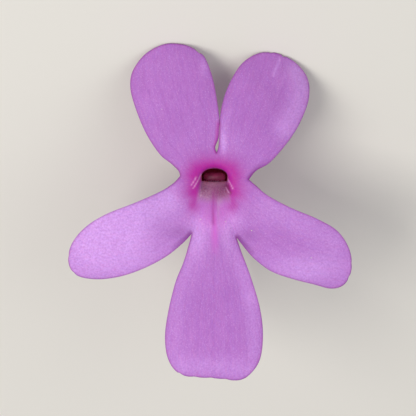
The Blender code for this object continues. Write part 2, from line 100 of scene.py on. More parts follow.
# Spur
SPUR_LENGTH = 15.0
SPUR_ROWS = 34
SPUR_START_SLOPE = math.radians(48.0)
SPUR_END_SLOPE = math.radians(20.0)
SPUR_ROOT_RADIUS = 0.95
SPUR_TIP_RADIUS = 0.14
SPUR_TAPER = 1.15
SPUR_LEAN = 1.3

# Receptacle axis and calyx. Angles are in degrees, from the axis and round it
CHAMBER_CENTRE = Vector((0.0, -0.1, -4.1))
CHAMBER_RADIUS = 1.6
AXIS_BACK = Vector((0.0, 0.2, -0.98)).normalized()
HOLE_RADIUS = 0.75
GAP = 0.3
CALYX_RADIUS = 2.3
CALYX_WALL = 0.34
CALYX_RING_ANGLE = 31.0
CALYX_RING_ROWS = 7
SPUR_CLEARANCE = 0.35
SEPAL_FLARE = 0.45
SEPAL_COLUMNS = 21
SEPAL_ROWS = 30
SEPAL_END = 0.995
SEPAL_HALF_WIDTH = 0.82
SEPAL_NOTCH = 0.16

# Each sepal: heading round the receptacle axis from the upper side, its sector and its tip angle
SEPALS = [
    {"heading": 0.0, "sector": (-26.0, 26.0), "tip": 97.0},
    {"heading": 52.0, "sector": (26.0, 80.0), "tip": 95.0},
    {"heading": 106.0, "sector": (80.0, 180.0), "tip": 92.0},
    {"heading": 254.0, "sector": (180.0, 280.0), "tip": 92.0},
    {"heading": 308.0, "sector": (280.0, 334.0), "tip": 95.0},
]

# Scape. Its shoulder stands a gap behind the calyx that the CAD has, which is a little thicker
CAD_CALYX_RADIUS = 2.25
CAD_CALYX_WALL = 0.6
NECK_RADIUS = 0.45
NECK_OUTSET = 0.02
NECK_ROWS = 10
SCAPE_RADIUS = 0.65
SCAPE_ROWS = 150
SCAPE_SWAY = [(0.1, 3.0), (0.55, 8.0), (0.85, 13.0), (0.7, 18.0), (0.3, 21.0)]
FOOT_CUT = 0.06
REST_HEIGHT = 0.005
RIBS = 7

# Pistil
OVARY_RADIUS = 0.65
STYLE_RADIUS = 0.24
STYLE_BEND = (0.0, 0.3, -3.5)
STYLE_ROWS = 24
FLAP_CENTRE = (0.0, 0.3, -2.85)
FLAP_HALF_SIZES = (1.08, 0.5, 0.09)
FLAP_BULGE = 0.25
FLAP_SQUARENESS = 0.7

# Stamens
STAMEN_ROUTE = [
    (0.5, -0.92, -5.2), (0.86, -0.88, -4.75), (0.88, -0.66, -4.25), (0.78, -0.4, -3.8), (0.7, -0.3, -3.5),
]
FILAMENT_RADIUS = 0.17
ANTHER_RADIUS = 0.3
TIP_RADIUS = 0.08
STAMEN_ROWS = 24

# Each lobe: its outline, anticlockwise from notch to notch, the outline points where its tip begins and
# ends, how it bends, and its tip's dents as (place across, depth, half width)
LOBES = [
    {
        "name": "upper_right",
        "outline": [
            (3.45, 0.05), (4.2, 0.95), (5.6, 1.8), (7.5, 4.0), (8.75, 6.1), (9.5, 8.3), (9.35, 10.3),
            (8.05, 11.9), (6.15, 12.8), (4.45, 12.75), (2.85, 11.8), (1.7, 10.1), (0.93, 8.2), (0.53, 6.3),
            (0.5, 5.2), (0.46, 4.2), (0.38, 3.3), (0.2, 2.74),
        ],
        "tip": (6, 10), "reflex": 2.45, "lift": 0.5, "edge_drop": 0.55, "twist": 0.0,
        "dents": [(0.43, 0.16, 0.018), (0.6, 0.14, 0.02), (0.66, 0.06, 0.02)],
    },
    {
        "name": "upper_left",
        "outline": [
            (0.2, 2.74), (0.08, 3.3), (0.41, 4.2), (0.47, 5.2), (0.48, 6.3), (0.22, 8.2), (-0.15, 10.1),
            (-0.85, 12.1), (-1.65, 12.95), (-3.1, 13.6), (-5.0, 13.65), (-6.9, 12.7), (-8.2, 11.0),
            (-8.45, 9.3), (-7.95, 7.3), (-6.9, 4.75), (-5.5, 2.6), (-4.3, 1.6), (-3.6, 0.9), (-3.45, 0.4),
        ],
        "tip": (7, 12), "reflex": 1.73, "lift": 0.5, "edge_drop": 0.55, "twist": 0.0,
        "dents": [(0.13, 0.2, 0.03)],
    },
    {
        "name": "side_left",
        "outline": [
            (-3.45, 0.4), (-4.1, -0.3), (-5.5, -1.2), (-8.0, -2.3), (-10.8, -3.4), (-12.9, -4.7),
            (-14.3, -6.4), (-14.65, -8.2), (-13.9, -9.5), (-12.0, -9.95), (-9.6, -9.7), (-7.2, -8.9),
            (-4.9, -7.7), (-3.2, -6.35), (-2.3, -5.4),
        ],
        "tip": (5, 9), "reflex": 1.0, "lift": 0.7, "edge_drop": 0.35, "twist": -0.3,
        "dents": [(0.45, 0.05, 0.03), (0.7, 0.06, 0.03)],
    },
    {
        "name": "lower",
        "outline": [
            (-2.3, -5.4), (-2.5, -6.2), (-3.1, -8.2), (-3.9, -10.2), (-4.6, -13.0), (-4.95, -15.5),
            (-4.75, -17.6), (-4.0, -19.0), (-2.8, -19.65), (0.0, -19.85), (2.4, -20.05), (3.7, -19.3),
            (4.6, -17.8), (4.85, -15.3), (4.5, -12.6), (3.6, -9.6), (2.7, -7.2), (2.2, -5.75),
        ],
        "tip": (6, 12), "reflex": 0.5, "lift": 0.7, "edge_drop": 0.25, "twist": 0.0,
        "dents": [(0.2, 0.12, 0.02), (0.33, 0.08, 0.03), (0.47, 0.06, 0.02), (0.6, 0.07, 0.03)],
    },
    {
        "name": "side_right",
        "outline": [
            (2.2, -5.75), (2.7, -6.4), (3.9, -7.8), (5.6, -9.1), (7.6, -9.85), (9.9, -10.45),
            (11.8, -10.9), (13.1, -10.4), (13.75, -8.9), (13.5, -6.9), (12.3, -5.1), (10.3, -3.9),
            (7.7, -2.8), (5.4, -1.6), (4.2, -0.6), (3.45, 0.05),
        ],
        "tip": (6, 10), "reflex": 1.2, "lift": 0.6, "edge_drop": 0.35, "twist": 0.3,
        "dents": [(0.3, 0.07, 0.03), (0.5, 0.05, 0.03)],
    },
]

# Soft lines of colour, each as its points, width and strength. Halo and core, the magenta round the mouth,
# are alike on both sides
MOUTH_MIDDLE = -0.06
HALO_TOP = [(0.0, 1.3), (0.8, 1.25), (1.6, 1.0), (1.9, 0.4)]
HALO_SIDE = [(1.75, 0.5), (1.8, -0.4), (1.95, -1.2)]
HALO = [(HALO_TOP, 1.25, 0.9), (HALO_SIDE, 1.3, 0.9)]
CORE = [(HALO_TOP, 0.55, 1.0), (HALO_SIDE, 0.5, 1.0)]
BANDS = [([(-1.8, -1.2), (-2.1, -2.5)], 0.7, 0.85), ([(1.65, -1.2), (1.8, -2.5)], 0.7, 0.85)]
COVER = 0.95
# Painted shade in the groove at the slit, where the upper lobes' inner edges curl back
SLIT_SHADE = [([(0.1, 2.75), (0.02, 3.3), (0.25, 4.2), (0.4, 5.6)], 0.2, 0.7)]
DARK_BAND = [([(1.3, -0.6), (1.55, -1.3)], 0.2, 0.8)]
STREAK = [([(-0.1, -1.3), (-0.16, -3.0), (-0.12, -4.4)], 0.16, 0.6), ([(0.0, -1.3), (0.0, -2.7)], 0.4, 0.36)]
SOFT_STREAK = [([(0.0, -3.8), (0.05, -7.2)], 0.38, 0.85)]
STRANDS = [
    ([(-1.31, 0.6), (-1.7, -0.15), (-2.1, -0.8)], 0.06, 1.0), ([(-1.8, 0.3), (-2.3, -0.5)], 0.06, 1.0),
    ([(1.25, 0.25), (1.6, -0.4), (1.85, -0.9)], 0.06, 1.0), ([(1.15, -0.75), (1.45, -1.3)], 0.06, 1.0),
]
# Painted light on the lobes: lit slopes and edges, and fine highlights
PAINTED_LIGHT_STREAKS = [
    ([(6.5, 12.1), (5.9, 10.5)], 0.16, 0.6), ([(0.9, 4.0), (1.5, 7.0)], 0.35, 0.2),
    ([(-4.6, -2.0), (-7.0, -3.2), (-10.5, -4.4)], 1.6, 0.75),
    ([(6.5, -3.4), (9.5, -4.8), (12.0, -6.2)], 1.5, 0.45),
    ([(8.3, 11.0), (8.9, 9.2), (8.3, 7.2), (7.0, 5.2)], 1.1, 0.6), ([(-3.2, -18.6), (3.4, -18.9)], 1.1, 0.5),
    ([(-2.2, -6.5), (-3.6, -12.0), (-3.9, -17.0)], 1.0, 0.2), ([(1.8, -6.5), (3.4, -11.5)], 0.7, 0.3),
    ([(3.7, -12.0), (4.0, -17.0)], 0.9, 0.4),
]

# Soft places of colour, each as its middle, half sizes and strength
PALE_PLACES = [
    ((-0.65, -1.7), (0.35, 0.45), 0.6), ((0.5, -2.0), (0.35, 0.5), 0.95), ((0.38, -3.1), (0.17, 1.1), 0.7),
    ((-0.6, -3.2), (0.35, 0.7), 0.25),
]
# Painted light: the lit left side lobe, lit slopes and highlights on bulges
PAINTED_LIGHT_PLACES = [
    ((0.95, 3.3), (0.3, 0.9), 0.8), ((0.75, 4.6), (0.3, 1.2), 0.4), ((-1.1, 11.3), (0.35, 0.8), 0.4),
    ((-10.9, -6.6), (6.0, 4.6), 1.1), ((-3.8, -1.9), (1.7, 1.3), 0.1), ((1.2, -5.2), (0.6, 2.2), 0.5),
    ((-1.6, -5.2), (0.9, 2.4), 0.7), ((9.4, -9.0), (4.4, 1.7), 0.9), ((4.6, -2.6), (1.3, 1.2), 0.2),
    ((2.2, 3.6), (0.9, 1.1), 0.2), ((-5.5, 11.0), (2.5, 1.6), 0.15), ((0.0, -4.6), (2.6, 1.0), 0.55),
    ((2.1, -3.6), (0.9, 0.9), 0.4),
]
# Painted shade by the lower notches, where the side lobes' edges dip
PAINTED_SHADE_PLACES = [
    ((-3.4, -5.3), (1.5, 0.7), 0.4), ((3.3, -5.6), (1.2, 0.7), 0.35), ((-6.0, -4.2), (1.2, 1.6), 0.15),
]

# Painted shade in the folds that start at notches, where the lobes' edges curl back
SHADED_FOLDS = [
    [(-2.45, -5.3), (-3.1, -5.95), (-4.1, -6.8)], [(2.35, -5.7), (2.9, -6.3), (3.8, -7.3)],
    [(3.45, 0.15), (4.2, 1.1), (5.4, 1.95)],
]

# Screen colours, by twos as the ends that a surface wanders between, and for a green its flush too
FACE_MAUVES = ((178, 109, 195), (190, 121, 206))
BACK_MAUVES = ((196, 150, 206), (210, 170, 218))
PALE_MAUVES = ((176, 134, 182), (206, 166, 212))
PLATE_PINKS = ((166, 96, 142), (218, 172, 198))
GREENS = {
    "calyx_green": (((136, 150, 78), (166, 174, 104)), (132, 60, 62)),
    "scape_green": (((136, 140, 76), (160, 156, 96)), (128, 72, 58)),
}

# Plain looks: the colours, the roughness and the scale of the grain
PLAIN_LOOKS = {
    "pistil_wine": (((120, 40, 66), (92, 26, 48)), 0.4, 1500.0),
    "stigma_wine": (((156, 54, 100), (112, 30, 66)), 0.42, 2600.0),
    "stamen_cream": (((226, 214, 170), (196, 176, 120)), 0.6, 1500.0),
    "hair_pale": (((214, 200, 176), (188, 150, 140)), 0.35, 6000.0),
    "palate_hair": (((198, 150, 184), (160, 96, 142)), 0.5, 6000.0),
    "grain_pale": (((236, 228, 222), (212, 202, 196)), 0.5, 8000.0),
}

# Coats of colour, one over the other: the mask, the strength and the colour
# On the front, light is painted light and highlights, and sparkle is painted glints of the cells
FACE_COATS = [
    ("streaks", 0.5, (168, 96, 186)), ("fine", 0.3, (204, 142, 217)), ("veins", 0.18, (164, 86, 180)),
    ("light", 0.8, (226, 173, 248)), ("grain", 0.45, (166, 94, 186)), ("sparkle", 0.3, (236, 198, 246)),
]
# ruddy makes the plate darker and redder towards the right; crest is painted light on the palate's crest,
# stronger to the left
PLATE_COATS = [("ruddy", 0.55, (146, 58, 112)), ("crest_light", 1.0, (240, 184, 214))]
# fold and rim are painted shade in folds and along curled edges, darkest at the notches; deep is painted
# light deep in the tube
LAST_COATS = [
    ("streak", 1.0, (166, 50, 148)), ("dark", 1.0, (132, 20, 92)), ("strand", 0.65, (236, 170, 220)),
    ("fold_shade", 0.8, (126, 46, 140)), ("rim", 0.85, (128, 30, 132)), ("deep", 1.0, (222, 96, 138)),
]
BACK_COATS = [
    ("streaks", 0.5, (170, 112, 184)), ("deep", 0.4, (214, 184, 202)), ("veins", 0.5, (144, 78, 162)),
]

# Coats that the streaks feather
FEATHERED_COATS = [("blush", (210, 100, 206)), ("halo_and_slit_shade", (180, 46, 162)), ("core", (180, 26, 156))]

# The petals' fine relief: textures and their shares
PETAL_RELIEF = [("streaks", 0.8), ("fine", 0.5), ("veins", -0.7), ("cells", 0.6)]

# Hairs. A sepal has a count of its own, and a hair's head is so many times as wide as its foot
SCAPE_HAIRS = {"seed": 11, "count": 900, "lengths": (0.22, 0.42), "widths": (0.016, 0.024), "head": 2.2}
SEPAL_HAIRS = {"seed": 12, "count": 60, "lengths": (0.18, 0.34), "widths": (0.014, 0.022), "head": 2.2}
PALATE_HAIRS = {"seed": 23, "count": 220, "lengths": (0.12, 0.26), "widths": (0.009, 0.014), "head": 1.5}

# A hair's stalk as (place along it, share of its width), and its head's place
HAIR_STALK = [(-0.1, 1.0), (0.5, 0.6), (0.86, 0.5)]
HAIR_HEAD_PLACE = 0.95
HAIR_SIDE = (0.3, 0.9, 0.4)

# Grains on the petals, as x, y and radius
SPECKS = [(3.75, -5.0, 0.07), (9.65, -7.85, 0.06), (-1.3, -3.9, 0.05), (1.1, -4.2, 0.05), (-5.2, 7.1, 0.04)]

# Camera, in millimetres, and the point that the lights aim at, in metres
CAMERA_DISTANCE = 500.0
FRAME_WIDTH = 41.6
SENSOR_WIDTH = 36.0
VIEW_CENTRE = (-0.65, -2.8)
LIGHT_AIM = (0.0, 0.0, 0.009)


def smooth_step(low, high, value):
    x = np.clip((value - low) / (high - low), 0.0, 1.0)
    return x * x * (3.0 - 2.0 * x)


def laid(points):
    """The flower's points in millimetres as the model's in metres."""
    return (points @ TURN.T + ORIGIN) * MM


def unlaid(points):
    """The model's points in millimetres as the flower's."""
    return (points - ORIGIN) @ TURN


def unit(vectors):
    return vectors / np.linalg.norm(vectors, axis=-1, keepdims=True)


def smooth_curve(points, steps=12):
    """A Catmull-Rom curve through the points, the places along it, from 0 to 1, and those of the points."""
    p = np.array(points, float)
    p = np.vstack([2 * p[0] - p[1], p, 2 * p[-1] - p[-2]])
    s = np.linspace(0.0, 1.0, steps, endpoint=False)[:, None]
    parts = []
    for a, b, c, d in zip(p, p[1:], p[2:], p[3:]):
        linear = c - a
        square = 2 * a - 5 * b + 4 * c - d
        cube = 3 * b - a - 3 * c + d
        parts.append(b + 0.5 * (linear * s + square * s**2 + cube * s**3))
    curve = np.vstack([*parts, p[-2:-1]])
    length = np.concatenate([[0.0], np.cumsum(np.linalg.norm(np.diff(curve, axis=0), axis=1))])
    return curve, length / length[-1], (length / length[-1])[::steps]


def along(curve, places, at):
    """Points on a curve at the given places, from 0 to 1 by arc length."""
    return np.stack([np.interp(at, places, curve[:, i]) for i in range(curve.shape[1])], axis=-1)


def ring_points(angles):
    """Points of the ring where the throat opens into the lobes, in the plane of the face."""
    return np.stack(
        [RING_HALF_WIDTH * np.cos(angles), RING_CENTRE_Y + RING_HALF_HEIGHT * np.sin(angles)], axis=-1
    )


def ring_depth(upward):
    """How far the ring lies behind the plane of the face, from -1 at its bottom to 1 at its top."""
    return RING_DEPTH_TOP + (RING_DEPTH_BOTTOM - RING_DEPTH_TOP) * (1 - upward) / 2


def face_grid(lobe, first_angle, last_angle, run, across):
    """A lobe's outline filled with rows from the throat ring to the tip, as x, y in the face's plane."""
    curve, places, marks = smooth_curve(lobe["outline"])
    tip_start, tip_end = marks[lobe["tip"][0]], marks[lobe["tip"][1]]
    angles = first_angle + (last_angle - first_angle) * across
    base = ring_points(angles)
    tip = along(curve, places, tip_start + (tip_end - tip_start) * across)
    inwards = unit(base.mean(axis=0) - tip.mean(axis=0))
    for place, depth, half_width in lobe["dents"]:
        tip += inwards * (depth * np.exp(-(((across - place) / half_width) ** 2)))[:, None]
    seam = np.clip(run / SEAM_SHARE, 0.0, 1.0)[:, None]
    free = np.clip((run - SEAM_SHARE) / (1.0 - SEAM_SHARE), 0.0, 1.0)
    on_seam = run[:, None] <= SEAM_SHARE
    first = np.where(on_seam, base[0] + (curve[0] - base[0]) * seam, along(curve, places, tip_start * free))
    last_place = 1.0 - (1.0 - tip_end) * free
    last = np.where(on_seam, base[-1] + (curve[-1] - base[-1]) * seam, along(curve, places, last_place))
    a = run[:, None, None]
    t = across[None, :, None]
    sides = (1 - t) * first[:, None] + t * last[:, None]
    ends = (1 - a) * base[None] + a * tip[None]
    corners = (1 - a) * ((1 - t) * base[0] + t * base[-1]) + a * ((1 - t) * tip[0] + t * tip[-1])
    return sides + ends - corners


def edge_distance(lobe, grid):
    """How far each point of a lobe lies from the lobe's free edge."""
    curve, _, _ = smooth_curve(lobe["outline"], steps=20)
    gaps = grid[:, :, None, :] - curve[None, None]
    return np.sqrt((gaps**2).sum(axis=-1).min(axis=-1))


def ripple(x, y, seed, waves=5):
    """A smooth unevenness of a few millimetres' length, within about one unit."""
    rng = np.random.default_rng(seed)
    total = np.zeros_like(x)
    for _ in range(waves):
        angle, turn = rng.uniform(0, 2 * math.pi, 2)
        length = rng.uniform(3.0, 7.0)
        total += np.sin((x * math.cos(angle) + y * math.sin(angle)) * 2 * math.pi / length + turn)
    return total / waves


def face_depth(lobe, grid, run, across, seed):
    """How far each point of a lobe stands out of the face's plane, towards the viewer."""
    x, y = grid[..., 0], grid[..., 1]
    ring = np.hypot(x / RING_HALF_WIDTH, (y - RING_CENTRE_Y) / RING_HALF_HEIGHT)
    upward = (y - RING_CENTRE_Y) / RING_HALF_HEIGHT / ring
    funnel = -ring_depth(upward) * np.exp(-(ring - 1) * FUNNEL_FADE)
    part = (ring - 1) / (ring.max() - 1)
    side = 2 * across[None, :] - 1
    own = lobe["lift"] * np.sin(math.pi * part) - lobe["reflex"] * part**2
    own = own - lobe["edge_drop"] * side**2 * part + lobe["twist"] * side * part * 2
    own += RIPPLE_HEIGHT * ripple(x, y, seed) * smooth_step(0.1, 0.5, part)
    if lobe["name"].startswith("upper"):
        own -= TIP_SETTLE * smooth_step(0.75, 1.0, part)
    rise = smooth_step(SEAM_SHARE, RISE_END, run)[:, None]
    weight = 1 - side**2 * (1 - rise)
    return funnel + weight * own


def throat_rings(count):
    """Rings from the face's ring inwards, each as roof, floor, half width and flatness."""
    sizes = zip(ROOF_LINE, FLOOR_LINE, TUBE_HALF_WIDTHS, FLOOR_FLATNESS)
    curve, places, _ = smooth_curve([(*roof, *floor, half, flat) for roof, floor, half, flat in sizes])
    return along(curve, places, np.linspace(0.0, 1.0, count + 1))


def spur_rings(start, count):
    """Rings down the spur from the tube's last ring, and how far each leans to the side."""
    share = np.linspace(0.0, 1.0, count + 1)[1:]
    place = (start[0:2] + start[2:4]) / 2
    rings = []
    for s in share:
        slope = SPUR_START_SLOPE + (SPUR_END_SLOPE - SPUR_START_SLOPE) * math.sqrt(s)
        place = place - SPUR_LENGTH / count * np.array((math.cos(slope), math.sin(slope)))
        radius = SPUR_TIP_RADIUS + (SPUR_ROOT_RADIUS - SPUR_TIP_RADIUS) * (1 - s) ** SPUR_TAPER
        out = radius * np.array((math.sin(slope), -math.cos(slope)))
        rings.append((*(place + out), *(place - out), radius, 0.0))
    return rings, SPUR_LEAN * share**2


def tube_points(ring, angles, lean=0.0):
    """Points round one ring of the tube, starting at the right and going up over the roof."""
    roof, floor, half, flat = ring[0:2], ring[2:4], ring[4], max(ring[5], 0.0)
    middle = (roof + floor) / 2
    up = (roof - floor) / 2
    rise = np.sin(angles)
    rise = np.where(rise < 0, -np.abs(rise) ** (1 - flat), np.abs(rise) ** (1 - ROOF_SQUARENESS * flat))
    return np.column_stack([lean + half * np.cos(angles), middle + rise[:, None] * up])


def tube_rows(angles):
    """Rows of points from the throat's ring through tube and spur to the spur's rounded tip."""
    throat = throat_rings(THROAT_ROWS)
    rows = [np.column_stack([ring_points(angles), -ring_depth(np.sin(angles))])]
    rows += [tube_points(ring, angles) for ring in throat[1:]]
    spur, leans = spur_rings(throat[-1], SPUR_ROWS)
    rows += [tube_points(np.array(ring), angles, lean) for ring, lean in zip(spur, leans)]
    out_of_tip = np.array((0.0, -math.cos(SPUR_END_SLOPE), -math.sin(SPUR_END_SLOPE)))
    last = rows[-1]
    centre = last.mean(axis=0)
    for share in (0.4, 0.75, 0.95, 1.0):
        size = math.sqrt(1 - share**2)
        rows.append(centre + (last - centre) * size + out_of_tip * SPUR_TIP_RADIUS * share)
    return rows


def grid_faces(start, rows, columns, closed=False):
    """Quads of a grid of points stored row by row."""
    faces = []
    for r in range(rows - 1):
        for c in range(columns if closed else columns - 1):
            right = (c + 1) % columns
            low, high = start + r * columns, start + (r + 1) * columns
            faces.append((low + c, high + c, high + right, low + right))
    return faces


def linked(name, data):
    made = bpy.data.objects.new(name, data)
    bpy.context.scene.collection.objects.link(made)
    return made


def new_piece(name, points, faces, looks, values=None, uv=None, weld=False):
    """A piece from the flower's points, with a float attribute for each named value."""
    mesh = bpy.data.meshes.new(name)
    mesh.from_pydata([tuple(p) for p in laid(points)], [], faces)
    for key, data in (values or {}).items():
        layer = mesh.attributes.new(key, "FLOAT", "POINT")
        layer.data.foreach_set("value", np.asarray(data, np.float32))
    if uv is not None:
        layer = mesh.uv_layers.new(name="veins")
        corners = np.empty(len(mesh.loops), np.int32)
        mesh.loops.foreach_get("vertex_index", corners)
        layer.data.foreach_set("uv", np.asarray(uv, np.float32)[corners].ravel())
    if weld:
        bm = bmesh.new()
        bm.from_mesh(mesh)
        bmesh.ops.remove_doubles(bm, verts=bm.verts, dist=2e-7)
        bm.to_mesh(mesh)
        bm.free()
    for look in looks:
        mesh.materials.append(look)
    mesh.shade_smooth()
    piece = linked(name, mesh)
    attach(piece, "root")
    return piece


def thicken(piece, wall, offset):
    shell = piece.modifiers.new("wall", "SOLIDIFY")
    shell.thickness = wall * MM
    shell.offset = offset
    return shell


def blob(x, y, centre, size):
    """1 at the centre, fading to 0 over the given half sizes."""
    return np.exp(-(((x - centre[0]) / size[0]) ** 2) - ((y - centre[1]) / size[1]) ** 2)


def near_line(x, y, line, width):
    """1 along a line of points, fading to 0 over the given width."""
    line = np.array(line)
    gaps = []
    for start, way in zip(line, np.diff(line, axis=0)):
        t = np.clip(((x - start[0]) * way[0] + (y - start[1]) * way[1]) / (way @ way), 0.0, 1.0)
        gaps.append(np.hypot(x - start[0] - t * way[0], y - start[1] - t * way[1]))
    return np.exp(-((np.min(gaps, axis=0) / width) ** 2))


def strongest(x, y, lines):
    """The strongest of some soft lines at each point."""
    return np.max([strength * near_line(x, y, line, width) for line, width, strength in lines], axis=0)


def all_places(x, y, places):
    """The sum of some soft places at each point."""
    return sum(strength * blob(x, y, middle, size) for middle, size, strength in places)


def palate(side, y):
    """1 on the floor of the mouth, which widens downwards, and 0 off it."""
    half_width, widening, softness = 1.2, 0.22, 0.25
    edge = half_width - widening * np.minimum(y, 0.0)
    return smooth_step(edge + softness, edge - softness, side) * smooth_step(0.1, -0.1, y)


def throat_colours(points):
    """How strongly each colour of the throat shows at each point, from 0 to 1, with painted shade in the
    slit and painted light on the crest and deep in the tube.
    """
    x, y, z = points.T
    side = np.abs(x - MOUTH_MIDDLE)
    floor = palate(side, y)
    pale = np.clip(all_places(x, y, PALE_PLACES), 0, 1)
    covered = np.maximum(floor * smooth_step(-3.0, -1.6, y), pale)
    halo_and_slit_shade = np.maximum(strongest(side, y, HALO) * smooth_step(-4.2, -1.2, y), strongest(x, y, BANDS))
    # The slit between the upper lobes gets painted shade in the halo's magenta
    halo_and_slit_shade = np.maximum(halo_and_slit_shade * (1 - COVER * covered), strongest(x, y, SLIT_SHADE))
    blush = 0.6 * blob(x, y, (0.0, -3.4), size=(1.9, 1.6)) * (1 - 0.5 * pale)
    blush = np.maximum(blush, strongest(x, y, SOFT_STREAK) * smooth_step(-8.4, -5.2, y))
    # Painted light on the palate's crest, stronger to the left
    crest_light = 0.75 - 0.3 * np.clip(x, -0.8, 0.8)
    roof_deep, floor_deep = 1.0, 2.4
    inside = np.where(y > 0.2, roof_deep, floor_deep)
    return {
        "halo_and_slit_shade": halo_and_slit_shade,
        "core": strongest(side, y, CORE) * (1 - COVER * floor),
        "plate": floor * smooth_step(-2.5, -1.3, y),
        "ruddy": smooth_step(-0.7, 0.7, x),
        "crest_light": floor * smooth_step(1.3, 2.2, -z) * crest_light,
        "pale": pale,
        "streak": strongest(x, y, STREAK),
        "blush": blush,
        "strand": strongest(x, y, STRANDS),
        "dark": strongest(x, y, DARK_BAND),
        # deep is 1 deep in the tube: the front's coat there is painted light, the back's a paler base
        "deep": smooth_step(inside, inside + 0.5, -z),
    }


def petal_colours(points, rim):
    """How strongly painted light, the painted shade of folds and the dark rims of painted shade, darkest at
    the notches, show at each point.
    """
    x, y, _ = points.T
    # Painted light: lit slopes, edges and highlights
    light = all_places(x, y, PAINTED_LIGHT_PLACES)
    light += sum(strength * near_line(x, y, line, width) for line, width, strength in PAINTED_LIGHT_STREAKS)
    notches = [lobe["outline"][0] for lobe in LOBES]
    close = np.max([blob(x, y, notch, size=(1.9, 1.9)) for notch in notches], axis=0)
    # Painted shade in the folds by the notches and in dim places
    fold_shade = np.max([near_line(x, y, line, width=0.26) for line in SHADED_FOLDS], axis=0)
    fold_shade *= np.max([blob(x, y, line[0], size=(1.7, 1.7)) for line in SHADED_FOLDS], axis=0) ** 0.6
    fold_shade = np.maximum(fold_shade, all_places(x, y, PAINTED_SHADE_PLACES))
    # Dark rims: painted shade along the curled edges, darkest at the notches
    rim_width = 0.13
    edge = np.exp(-((rim / rim_width) ** 2))
    return {"light": np.clip(light, 0, 1), "rim": edge * (0.6 + 0.4 * close), "fold_shade": fold_shade}


def lobe_steps():
    """Places across a lobe and along it, from 0 to 1 and closest together at its edges."""
    edge = np.array(EDGE_COLUMNS)
    middle = np.linspace(MIDDLE_START, 1 - MIDDLE_START, LOBE_COLUMNS + 1 - 2 * len(edge))
    across = np.concatenate([edge, middle, 1 - edge[::-1]])
    seam = np.linspace(0.0, SEAM_SHARE, SEAM_ROWS + 1)
    free = np.linspace(SEAM_SHARE, TIP_ROWS[0], FREE_ROWS - 1)[1:]
    return across, np.concatenate([seam, free, TIP_ROWS[1:]])


class Sheet:
    """The corolla's front skin as it is put together: points, faces, vein places and wall shares."""

    def __init__(self):
        self.points, self.faces, self.veins, self.rim, self.wall = [], [], [], [], []
        self.count = 0

    def add(self, grid, vein_grid, rim, wall, closed=False):
        rows, columns, _ = grid.shape
        self.faces += grid_faces(self.count, rows, columns, closed)
        self.points.append(grid.reshape(-1, 3))
        self.veins.append(vein_grid.reshape(-1, 2))
        self.rim.append(rim.ravel())
        self.wall.append(wall.ravel())
        self.count += rows * columns


def add_lobes(sheet):
    """Adds the lobes, and gives the angles where their columns meet the throat's ring."""
    across, run = lobe_steps()
    notches = np.radians(NOTCH_ANGLES)
    angles = []
    for index, (lobe, first, last) in enumerate(zip(LOBES, notches, notches[1:])):
        grid = face_grid(lobe, first, last, run, across)
        depth = face_depth(lobe, grid, run, across, index)
        rim = edge_distance(lobe, grid)
        wall = 1 - (1 - RIM_WALL_SHARE) * np.exp(-((rim / RIM_WALL_FADE) ** 2))
        along_lobe, over_lobe = np.meshgrid(run, across, indexing="ij")
        sheet.add(np.dstack([grid, depth]), np.dstack([over_lobe + index, along_lobe]), rim, wall)
        angles.append(first + (last - first) * across[:-1])
    return np.concatenate(angles)


def add_tube(sheet, angles):
    """Adds throat, tube and spur, from the spur's tip to the throat's ring."""
    rows = np.array(tube_rows(angles))[::-1]
    count, columns, _ = rows.shape
    inwards = (np.arange(count)[::-1] + 1) * -0.02
    veins = np.dstack(np.meshgrid(np.arange(columns) / LOBE_COLUMNS, inwards))
    down_spur = np.clip((np.arange(count)[::-1] - THROAT_ROWS) / SPUR_ROWS, 0.0, 1.0)
    wall = np.repeat(1 - (1 - SPUR_WALL_SHARE) * down_spur, columns)
    far_from_rim = np.full((count, columns), 9.0)
    sheet.add(rows, veins, far_from_rim, wall, closed=True)


def build_corolla():
    """Builds the corolla as one thin wall, and gives the points of its lobes."""
    sheet = Sheet()
    angles = add_lobes(sheet)
    lobe_points = sheet.count
    add_tube(sheet, angles)
    points = np.vstack(sheet.points)
    values = throat_colours(points)
    values["deep"][:lobe_points] = 0.0
    values.update(petal_colours(points, np.concatenate(sheet.rim)))
    values["wall"] = np.concatenate(sheet.wall)
    looks = [petal_face("petal_face"), petal_back("petal_back")]
    uv = np.vstack(sheet.veins)
    corolla = new_piece("corolla_petals", points, sheet.faces, looks, values, uv, weld=True)
    shares = np.empty(len(corolla.data.vertices), np.float32)
    corolla.data.attributes["wall"].data.foreach_get("value", shares)
    group = corolla.vertex_groups.new(name="wall")
    for i, share in enumerate(shares):
        group.add([i], float(share), "REPLACE")
    shell = thicken(corolla, PETAL_WALL, -1.0)
    shell.vertex_group = "wall"
    shell.material_offset = 1
    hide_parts("corolla")
    return points[:lobe_points]


def rgb(red, green, blue):
    """A screen colour, from 0 to 255, as the linear one that shaders take, by the sRGB curve."""
    shares = [part / 255 for part in (red, green, blue)]
    return (*(s / 12.92 if s < 0.04045 else ((s + 0.055) / 1.055) ** 2.4 for s in shares), 1.0)


